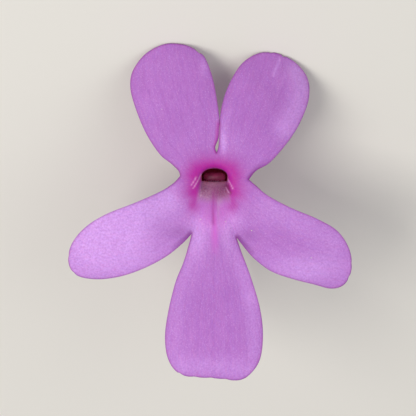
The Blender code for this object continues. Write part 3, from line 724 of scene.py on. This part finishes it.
class Look:
    """A small helper to write a material's nodes."""

    def __init__(self, name):
        self.material = bpy.data.materials.new(name)
        self.material.use_nodes = True
        self.tree = self.material.node_tree
        self.shader = self.tree.nodes["Principled BSDF"]

    def fill(self, node, inputs):
        for key, value in inputs.items():
            if isinstance(value, bpy.types.NodeSocket):
                self.tree.links.new(value, node.inputs[key])
            else:
                node.inputs[key].default_value = value

    def node(self, kind, inputs, **settings):
        made = self.tree.nodes.new(kind)
        for key, value in settings.items():
            setattr(made, key, value)
        self.fill(made, inputs)
        return made

    def attribute(self, name):
        return self.node("ShaderNodeAttribute", {}, attribute_name=name).outputs["Fac"]

    def mix(self, fac, first, second):
        return self.node("ShaderNodeMix", {0: fac, 6: first, 7: second}, data_type="RGBA").outputs[2]

    def between(self, fac, colours):
        """A colour that wanders between the two given."""
        return self.mix(fac, rgb(*colours[0]), rgb(*colours[1]))

    def math(self, operation, first, second):
        return self.node("ShaderNodeMath", {0: first, 1: second}, operation=operation).outputs[0]

    def remap(self, value, low, high, to_low=0.0, to_high=1.0):
        inputs = dict(enumerate((value, low, high, to_low, to_high)))
        return self.node("ShaderNodeMapRange", inputs).outputs[0]

    def noise(self, where, scale, low, high, detail=2.0, roughness=0.5):
        """A noise whose values from low to high are spread over 0 to 1."""
        inputs = {"Vector": where, "Scale": scale, "Detail": detail, "Roughness": roughness}
        return self.remap(self.node("ShaderNodeTexNoise", inputs).outputs["Fac"], low, high)

    def cells(self, where, scale):
        return self.node("ShaderNodeTexVoronoi", {"Vector": where, "Scale": scale}).outputs["Distance"]

    def scaled(self, where, size):
        return self.node("ShaderNodeMapping", {"Vector": where, "Scale": size}).outputs[0]

    def place(self):
        return self.node("ShaderNodeTexCoord", {}).outputs["Object"]

    def coats(self, colour, coats, textures):
        """Coats over a colour, each masked by a texture or else by a value that the mesh carries."""
        for name, strength, tint in coats:
            mask = textures[name] if name in textures else self.attribute(name)
            tint = rgb(*tint) if isinstance(tint, tuple) else tint
            colour = self.mix(self.math("MULTIPLY", mask, strength), colour, tint)
        return colour

    def bump(self, height, strength, distance):
        made = self.node("ShaderNodeBump", {"Height": height, "Strength": strength, "Distance": distance})
        self.fill(self.shader, {"Normal": made.outputs[0]})

    def finish(self, colour, roughness, **others):
        others = {key.replace("_", " "): value for key, value in others.items()}
        self.fill(self.shader, {"Base Color": colour, "Roughness": roughness, **others})
        return self.material


def petal_textures(look):
    """The petals' textures by name. Veins, streaks and fine lines run along each lobe."""
    here = look.place()
    uv = look.node("ShaderNodeUVMap", {}, uv_map="veins").outputs[0]
    wander = {"Vector": uv, "Scale": 2.2, "Distortion": 2.5, "Detail": 2.0, "Detail Scale": 2.5}
    wave = look.node("ShaderNodeTexWave", wander, wave_profile="SIN")
    streak_uv, fine_uv = look.scaled(uv, (9.0, 1.6, 1.0)), look.scaled(uv, (34.0, 9.0, 1.0))
    return {
        "patches": look.noise(here, 260.0, low=0.35, high=0.65),
        "streaks": look.noise(streak_uv, 2.2, low=0.32, high=0.7, detail=4.0, roughness=0.6),
        "fine": look.noise(fine_uv, 2.0, low=0.3, high=0.7),
        "grain": look.noise(here, 5200.0, low=0.3, high=0.7),
        "cells": look.cells(here, 14000.0),
        "veins": look.remap(wave.outputs["Fac"], low=0.86, high=1.0),
    }


def finish_petal(look, colour, textures):
    """The petals' fine relief, soft sheen and slight glow."""
    height = 0.0
    for name, share in PETAL_RELIEF:
        height = look.math("ADD", height, look.math("MULTIPLY", textures[name], share))
    look.bump(height, strength=0.35, distance=0.00004)
    roughness = look.remap(textures["grain"], low=0.0, high=1.0, to_low=0.42, to_high=0.62)
    return look.finish(
        colour, roughness, Sheen_Weight=0.08, Sheen_Roughness=0.4, Subsurface_Weight=0.15,
        Subsurface_Scale=0.0004, Specular_IOR_Level=0.35,
    )


def petal_face(name):
    """The petals' front: mauve with painted light and glints, then the throat's colours with painted light
    deep in the tube, and the dark edges and folds of painted shade.
    """
    look = Look(name)
    textures = petal_textures(look)
    # Painted glints of the petal's cells
    textures["sparkle"] = look.remap(look.cells(look.place(), 5600.0), low=0.32, high=0.05)
    feather = look.remap(textures["streaks"], 0.0, 1.0, to_low=0.88, to_high=1.06)
    plate = look.between(look.math("MULTIPLY", textures["fine"], textures["grain"]), PLATE_PINKS)
    coats = [
        *FACE_COATS,
        ("pale", 0.85, look.between(textures["fine"], PALE_MAUVES)),
        *((value, feather, tint) for value, tint in FEATHERED_COATS),
        ("plate", 0.92, look.coats(plate, PLATE_COATS, textures)),
        *LAST_COATS,
    ]
    colour = look.coats(look.between(textures["patches"], FACE_MAUVES), coats, textures)
    return finish_petal(look, colour, textures)


def petal_back(name):
    """The petals' back and the outside of tube and spur: paler, with veins that show through."""
    look = Look(name)
    textures = petal_textures(look)
    colour = look.coats(look.between(textures["patches"], BACK_MAUVES), BACK_COATS, textures)
    return finish_petal(look, colour, textures)


def green_material(name):
    """Green tissue with a red-brown flush, a fine grain and a satin surface."""
    look = Look(name)
    here = look.place()
    greens, flush = GREENS[name]
    grain = look.noise(here, 4200.0, low=0.3, high=0.7)
    colour = look.between(look.noise(here, 420.0, low=0.35, high=0.65, detail=3.0), greens)
    colour = look.coats(colour, [("grain", 0.35, flush), ("flush", 1.0, flush)], {"grain": grain})
    look.bump(look.math("ADD", grain, look.cells(here, 9000.0)), strength=0.35, distance=0.00004)
    return look.finish(colour, 0.45, Sheen_Weight=0.15, Subsurface_Weight=0.12, Subsurface_Scale=0.0004)


def plain_material(name):
    """A fleshy or dusty surface with fine unevenness."""
    look = Look(name)
    here = look.place()
    colours, roughness, scale = PLAIN_LOOKS[name]
    grain = look.noise(here, scale, low=0.3, high=0.7, detail=3.0)
    look.bump(look.math("ADD", grain, look.cells(here, scale * 4)), strength=0.4, distance=0.00003)
    colour = look.between(grain, colours)
    return look.finish(colour, roughness, Subsurface_Weight=0.1, Subsurface_Scale=0.0003)


def calyx_point(angle, heading, lift=0.0):
    """A point of the calyx's inner skin, by its angle from the receptacle axis and its heading."""
    upper = AXIS_BACK.cross(Vector((1.0, 0.0, 0.0))).normalized()
    upper = upper if upper.y > 0 else -upper
    a, h = math.radians(angle), math.radians(heading)
    from_spur = abs((heading + 180.0) % 360.0 - 180.0)
    flare = SEPAL_FLARE * max(0.0, (angle - 65.0) / 30.0) ** 2
    flare += SPUR_CLEARANCE * float(smooth_step(80.0, 160.0, from_spur))
    sideways = Vector((1.0, 0.0, 0.0))
    direction = math.cos(a) * AXIS_BACK + math.sin(a) * (math.cos(h) * upper + math.sin(h) * sideways)
    return np.array(CHAMBER_CENTRE + direction * (CALYX_RADIUS + flare + lift))


def sepal_row(sepal, share):
    """A row across a free sepal: its angle from the axis, its middle and half its width."""
    first, last = sepal["sector"]
    angle = CALYX_RING_ANGLE + share * (sepal["tip"] - CALYX_RING_ANGLE)
    middle = (first + last) / 2
    middle += (sepal["heading"] - middle) * float(smooth_step(0.0, 0.5, share))
    radius = CALYX_RADIUS * math.sin(math.radians(angle))
    notch = SEPAL_NOTCH * float(smooth_step(0.0, 0.15, share))
    room = math.radians((last - first) / 2) * radius - notch
    rounding = max(0.0, 1 - share**2.6) ** 0.65
    half = min(room, SEPAL_HALF_WIDTH) * rounding
    return angle, middle, math.degrees(half / radius)


def sepal_relief(across):
    """How far a sepal stands out across its width."""
    midrib = 0.08 * np.exp(-((across / 0.14) ** 2))
    side_ribs = 0.02 * np.cos(across * 22)
    hollow = 0.06 * across**2
    return midrib + side_ribs - hollow


def build_calyx():
    """Five sepals joined at the base, three in the upper lip and two in the lower."""
    hole_angle = math.degrees(math.asin(HOLE_RADIUS / CALYX_RADIUS))
    across = np.linspace(-1, 1, SEPAL_COLUMNS)
    relief = sepal_relief(across)
    points, faces, flush = [], [], []
    for sepal in SEPALS:
        start = len(points)
        for angle in np.linspace(hole_angle, CALYX_RING_ANGLE, CALYX_RING_ROWS):
            headings = np.linspace(*sepal["sector"], SEPAL_COLUMNS)
            points += [calyx_point(angle, heading) for heading in headings]
            flush += [0.0] * SEPAL_COLUMNS
        for share in np.linspace(0.0, SEPAL_END, SEPAL_ROWS + 1)[1:]:
            angle, middle, half = sepal_row(sepal, share)
            rise = float(smooth_step(0.0, 0.2, share))
            points += [calyx_point(angle, middle + a * half, r * rise) for a, r in zip(across, relief)]
            flush += list(0.85 * share**2 + 0.35 * across**6)
        faces += grid_faces(start, CALYX_RING_ROWS + SEPAL_ROWS, SEPAL_COLUMNS)
    looks = [green_material("calyx_green")]
    calyx = new_piece("calyx_sepals", np.array(points), faces, looks, {"flush": flush}, weld=True)
    thicken(calyx, CALYX_WALL, 1.0)
    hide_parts("calyx")


def swept(points, radii, sides, rib_depth=0.0):
    """Rings of a tube round a path, ribbed if given a depth, with a frame that doesn't spin."""
    tangents = unit(np.gradient(points, axis=0))
    side = np.cross(tangents[0], (0.0, 0.0, 1.0) if abs(tangents[0][2]) < 0.9 else (1.0, 0.0, 0.0))
    rows = []
    angles = np.linspace(0, 2 * math.pi, sides, endpoint=False)
    for point, tangent, radius in zip(points, tangents, radii):
        side = unit(side - tangent * (side @ tangent))
        other = np.cross(tangent, side)
        reach = radius * (1 + rib_depth * np.cos(angles * RIBS))
        spokes = np.cos(angles)[:, None] * side + np.sin(angles)[:, None] * other
        rows.append(point + reach[:, None] * spokes)
    return np.array(rows)


def closed_tube(name, rows, look, values=None):
    """A closed mesh from rings: quads between them and a fan of triangles over each end."""
    count, sides, _ = rows.shape
    points = rows.reshape(-1, 3)
    faces = [tuple(reversed(f)) for f in grid_faces(0, count, sides, closed=True)]
    points = np.vstack([points, rows[0].mean(axis=0), rows[-1].mean(axis=0)])
    foot, top = len(points) - 2, len(points) - 1
    last = (count - 1) * sides
    for k in range(sides):
        after = (k + 1) % sides
        faces.append((foot, after, k))
        faces.append((top, last + k, last + after))
    if values:
        values = {key: np.concatenate([np.repeat(v, sides), [v[0], v[-1]]]) for key, v in values.items()}
    return new_piece(name, points, faces, [look], values)


def scape_route():
    """The scape's middle line from its neck to its cut end, in the model's frame, in millimetres."""
    neck_end = LAY @ (CHAMBER_CENTRE + AXIS_BACK * (CHAMBER_RADIUS + NECK_OUTSET))
    shoulder = LAY @ (CHAMBER_CENTRE + AXIS_BACK * (CAD_CALYX_RADIUS + CAD_CALYX_WALL + GAP))
    axis = (shoulder - neck_end).normalized()
    slope = math.atan2(-axis.z, axis.y)
    height = SCAPE_RADIUS - FOOT_CUT
    bend_radius = (shoulder.z - height) / (1.0 - math.cos(slope))
    route = [tuple(neck_end), tuple((neck_end + shoulder) / 2), tuple(shoulder)]
    for left in (0.75, 0.5, 0.25, 0.0):
        y = shoulder.y + bend_radius * (math.sin(slope) - math.sin(slope * left))
        z = height + bend_radius * (1.0 - math.cos(slope * left))
        route.append((shoulder.x, y, z))
    bend_end = route[-1][1]
    route += [(shoulder.x + x, bend_end + y, height) for x, y in SCAPE_SWAY]
    return smooth_curve(route)


def build_scape():
    """The flower stalk, with fine ribs, a wavering thickness and a flush towards the flower."""
    curve, places, marks = scape_route()
    shoulder, bend_start = marks[2], marks[3]
    neck, stalk = np.linspace(0.0, shoulder, NECK_ROWS), np.linspace(shoulder, 1.0, SCAPE_ROWS)[1:]
    stations = np.concatenate([neck, stalk])
    swell = smooth_step(shoulder * 0.9, bend_start, stations)
    waver = 1 + 0.02 * np.sin(stations * 41) + 0.012 * np.sin(stations * 97 + 1)
    radii = (NECK_RADIUS + (SCAPE_RADIUS - NECK_RADIUS) * swell) * waver
    rows = swept(along(curve, places, stations), radii, sides=28, rib_depth=0.02)
    rows[..., 2] = np.maximum(rows[..., 2], REST_HEIGHT)
    flush = 0.75 * (1 - smooth_step(bend_start, 0.6, stations))
    scape = closed_tube("scape_stalk", unlaid(rows), green_material("scape_green"), {"flush": flush})
    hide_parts("scape")


def ball_rows(centre, radii, rows=20, sides=32):
    """Rings of an ellipsoid, from its front to its back."""
    polar = np.linspace(POLE_GAP, math.pi - POLE_GAP, rows)[:, None]
    angles = np.linspace(0, 2 * math.pi, sides, endpoint=False)
    across, up = np.sin(polar) * np.cos(angles), np.sin(polar) * np.sin(angles)
    return np.dstack([across, up, np.cos(polar) * np.ones(sides)]) * radii + np.array(centre)


def flap_rows():
    """The stigma's flap: a thin sheet at the style's end, bulging and frilled at its edge."""
    rows = ball_rows((0, 0, 0), (1.0, 1.0, 1.0), rows=28, sides=64)
    x, y, z = np.moveaxis(rows, -1, 0)
    angle = np.arctan2(y, x)
    reach = np.hypot(x, y)
    bulge = FLAP_BULGE * (1 - reach**2)
    frill = reach * (1 + 0.05 * np.cos(angle * 15) * reach**3)
    x = frill * np.sign(np.cos(angle)) * np.abs(np.cos(angle)) ** FLAP_SQUARENESS
    y = frill * np.sign(np.sin(angle)) * np.abs(np.sin(angle)) ** FLAP_SQUARENESS
    width, height, wall = FLAP_HALF_SIZES
    return np.stack([x * width, y * height, z * wall + bulge], axis=-1) + np.array(FLAP_CENTRE)


def build_pistil():
    """The ovary with its short style, and the stigma's broad, wavy lower flap."""
    look = plain_material("pistil_wine")
    centre = CHAMBER_CENTRE + AXIS_BACK * (CHAMBER_RADIUS - GAP - OVARY_RADIUS)
    ovary = closed_tube("pistil_ovary", ball_rows(centre, (OVARY_RADIUS,) * 3), look)
    path, places, _ = smooth_curve([tuple(centre), STYLE_BEND, FLAP_CENTRE])
    points = along(path, places, np.linspace(0.0, 1.0, STYLE_ROWS))
    closed_tube("pistil_style", swept(points, [STYLE_RADIUS] * STYLE_ROWS, sides=16), look)
    closed_tube("pistil_stigma", flap_rows(), plain_material("stigma_wine"))
    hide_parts("pistil")


def build_stamen(name, side, look):
    """A pale filament that swells into a cream anther."""
    curve, places, marks = smooth_curve([(side * x, y, z) for x, y, z in STAMEN_ROUTE])
    neck = marks[3] * 0.8
    filament, anther = np.linspace(0.0, neck, STAMEN_ROWS), np.linspace(neck, 1.0, STAMEN_ROWS + 1)[1:]
    stations = np.concatenate([filament, anther])
    share = np.clip((stations - neck) / (1.0 - neck), 0.0, 1.0)
    foot = FILAMENT_RADIUS + (TIP_RADIUS - FILAMENT_RADIUS) * smooth_step(0.7, 1.0, share)
    radii = foot + (ANTHER_RADIUS - FILAMENT_RADIUS) * np.sin(math.pi * share) ** 0.7
    rows = swept(along(curve, places, stations), radii, sides=20)
    stamen = closed_tube(name + "_body", rows, look)
    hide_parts(name)


def one_hair(root, up, bend, length, width, head, first):
    """A hair's points and faces: a tapered three-sided stalk with a small round head on it."""
    side = unit(np.cross(up, HAIR_SIDE))
    other = np.cross(up, side)
    points, faces = [], []
    for place, size in HAIR_STALK:
        centre = root + (up + bend * place) * length * place
        for k in range(3):
            angle = 2 * math.pi * k / 3
            points.append(centre + (math.cos(angle) * side + math.sin(angle) * other) * width * size)
    for start in range(first, first + len(points) - 3, 3):
        for k in range(3):
            a, b = start + k, start + (k + 1) % 3
            faces.append((a, b, b + 3, a + 3))
    top = first + len(points)
    centre = root + (up + bend * HAIR_HEAD_PLACE) * length * HAIR_HEAD_PLACE
    points += [centre + way * (width * head) for way in (side, other, -side, -other, up, -up)]
    for k in range(4):
        a, b = top + k, top + (k + 1) % 4
        faces += [(a, b, top + 4), (b, a, top + 5)]
    return points, faces


def add_hairs(name, roots, normals, kind, rng, look):
    """Glandular hairs as one mesh."""
    lengths, widths = rng.uniform(*kind["lengths"], len(roots)), rng.uniform(*kind["widths"], len(roots))
    bends = np.random.default_rng(seed=5).normal(scale=0.12, size=(len(roots), 3))
    verts, faces = [], []
    for root, up, bend, length, width in zip(roots, unit(normals), bends, lengths, widths):
        hair_points, hair_faces = one_hair(root, up, bend, length, width, kind["head"], len(verts))
        verts += hair_points
        faces += hair_faces
    new_piece(name, np.array(verts), faces, [look])


def add_scape_hairs(look):
    """Glandular hairs all over the scape, except where it lies on the surface."""
    rng = np.random.default_rng(SCAPE_HAIRS["seed"])
    count = SCAPE_HAIRS["count"]
    curve, places, marks = scape_route()
    stations = rng.uniform(marks[2] * 1.02, 0.995, count)
    points = along(curve, places, stations)
    tangents = unit(along(curve, places, np.minimum(stations + 0.003, 1.0)) - points)
    out = rng.normal(size=(count, 3))
    out = unit(out - tangents * (out * tangents).sum(axis=1)[:, None])
    roots = points + out * SCAPE_RADIUS * 0.97
    tip_reach, clearance = 0.5, 0.05
    free = roots[:, 2] + tip_reach * out[:, 2] > clearance
    add_hairs("scape_hairs", unlaid(roots[free]), out[free] @ TURN, SCAPE_HAIRS, rng, look)


def add_calyx_hairs(look):
    """Glandular hairs on the outside of the sepals."""
    rng = np.random.default_rng(SEPAL_HAIRS["seed"])
    roots = []
    for sepal in SEPALS:
        for _ in range(SEPAL_HAIRS["count"]):
            angle, middle, half = sepal_row(sepal, share=rng.uniform(0.05, 0.92))
            heading = middle + rng.uniform(-0.85, 0.85) * half
            roots.append(calyx_point(angle, heading, lift=CALYX_WALL * 0.98))
    roots = np.array(roots)
    add_hairs("calyx_hairs", roots, roots - np.array(CHAMBER_CENTRE), SEPAL_HAIRS, rng, look)


def add_palate_hairs(look):
    """Short pale hairs on the floor of the throat, leaning out of the mouth."""
    rng = np.random.default_rng(PALATE_HAIRS["seed"])
    rings = throat_rings(count=120)
    lean = np.array((0.0, 0.0, 1.2))
    roots, normals = [], []
    for _ in range(PALATE_HAIRS["count"]):
        ring = rings[rng.integers(14, 46)]
        point = tube_points(ring, np.radians(rng.uniform(-145.0, -35.0, 1)))[0]
        middle = np.array((0.0, *((ring[0:2] + ring[2:4]) / 2)))
        roots.append(point)
        normals.append(middle - point + lean)
    add_hairs("palate_hairs", np.array(roots), np.array(normals), PALATE_HAIRS, rng, look)


def add_specks(face_points):
    """A few pale grains that lie on the petals."""
    look = plain_material("grain_pale")
    for number, (x, y, radius) in enumerate(SPECKS):
        nearest = np.argmin(np.hypot(face_points[:, 0] - x, face_points[:, 1] - y))
        radii = (radius, radius * 0.8, radius * 0.7)
        centre = face_points[nearest] + np.array((0.0, 0.0, radii[2]))
        closed_tube(f"grain_{number + 1}", ball_rows(centre, radii, rows=9, sides=12), look)


def add_floor():
    bm = bmesh.new()
    bmesh.ops.create_grid(bm, x_segments=1, y_segments=1, size=1.5)
    mesh = bpy.data.meshes.new("floor")
    bm.to_mesh(mesh)
    bm.free()
    mesh.materials.append(Look("floor_pale").finish(rgb(226, 222, 214), roughness=0.9))
    linked("floor", mesh)


def add_light(name, place, size, power, colour):
    light = bpy.data.lights.new(name, "AREA")
    light.size = size
    light.energy = power
    light.color = colour
    obj = linked(name, light)
    obj.location = place
    obj.rotation_euler = (Vector(LIGHT_AIM) - Vector(place)).to_track_quat("-Z", "Y").to_euler()


def add_sky():
    world = bpy.data.worlds.new("sky")
    world.use_nodes = True
    background = world.node_tree.nodes["Background"]
    background.inputs["Color"].default_value = (0.95, 0.97, 1.0, 1.0)
    background.inputs["Strength"].default_value = 0.5
    bpy.context.scene.world = world


def add_camera():
    camera = bpy.data.cameras.new("camera")
    camera.sensor_width = SENSOR_WIDTH
    camera.lens = SENSOR_WIDTH * CAMERA_DISTANCE / FRAME_WIDTH
    camera.clip_start = 0.01
    obj = linked("camera", camera)
    place = LAY @ Matrix.Translation((*VIEW_CENTRE, CAMERA_DISTANCE))
    place.translation *= MM
    obj.matrix_world = place
    bpy.context.scene.camera = obj


def build():
    bpy.context.scene.view_settings.view_transform = "Standard"
    add_camera()
    add_floor()
    add_light("key", place=(0.22, -0.10, 0.30), size=0.22, power=0.85, colour=(1.0, 0.98, 0.95))
    add_light("fill", place=(-0.25, -0.15, 0.22), size=0.30, power=0.28, colour=(0.95, 0.97, 1.0))
    add_sky()
    face_points = build_corolla()
    build_calyx()
    build_scape()
    build_pistil()
    stamen = plain_material("stamen_cream")
    build_stamen("stamen_left", -1, stamen)
    build_stamen("stamen_right", 1, stamen)
    hairs = plain_material("hair_pale")
    add_scape_hairs(hairs)
    add_calyx_hairs(hairs)
    add_palate_hairs(plain_material("palate_hair"))
    add_specks(face_points)


build()
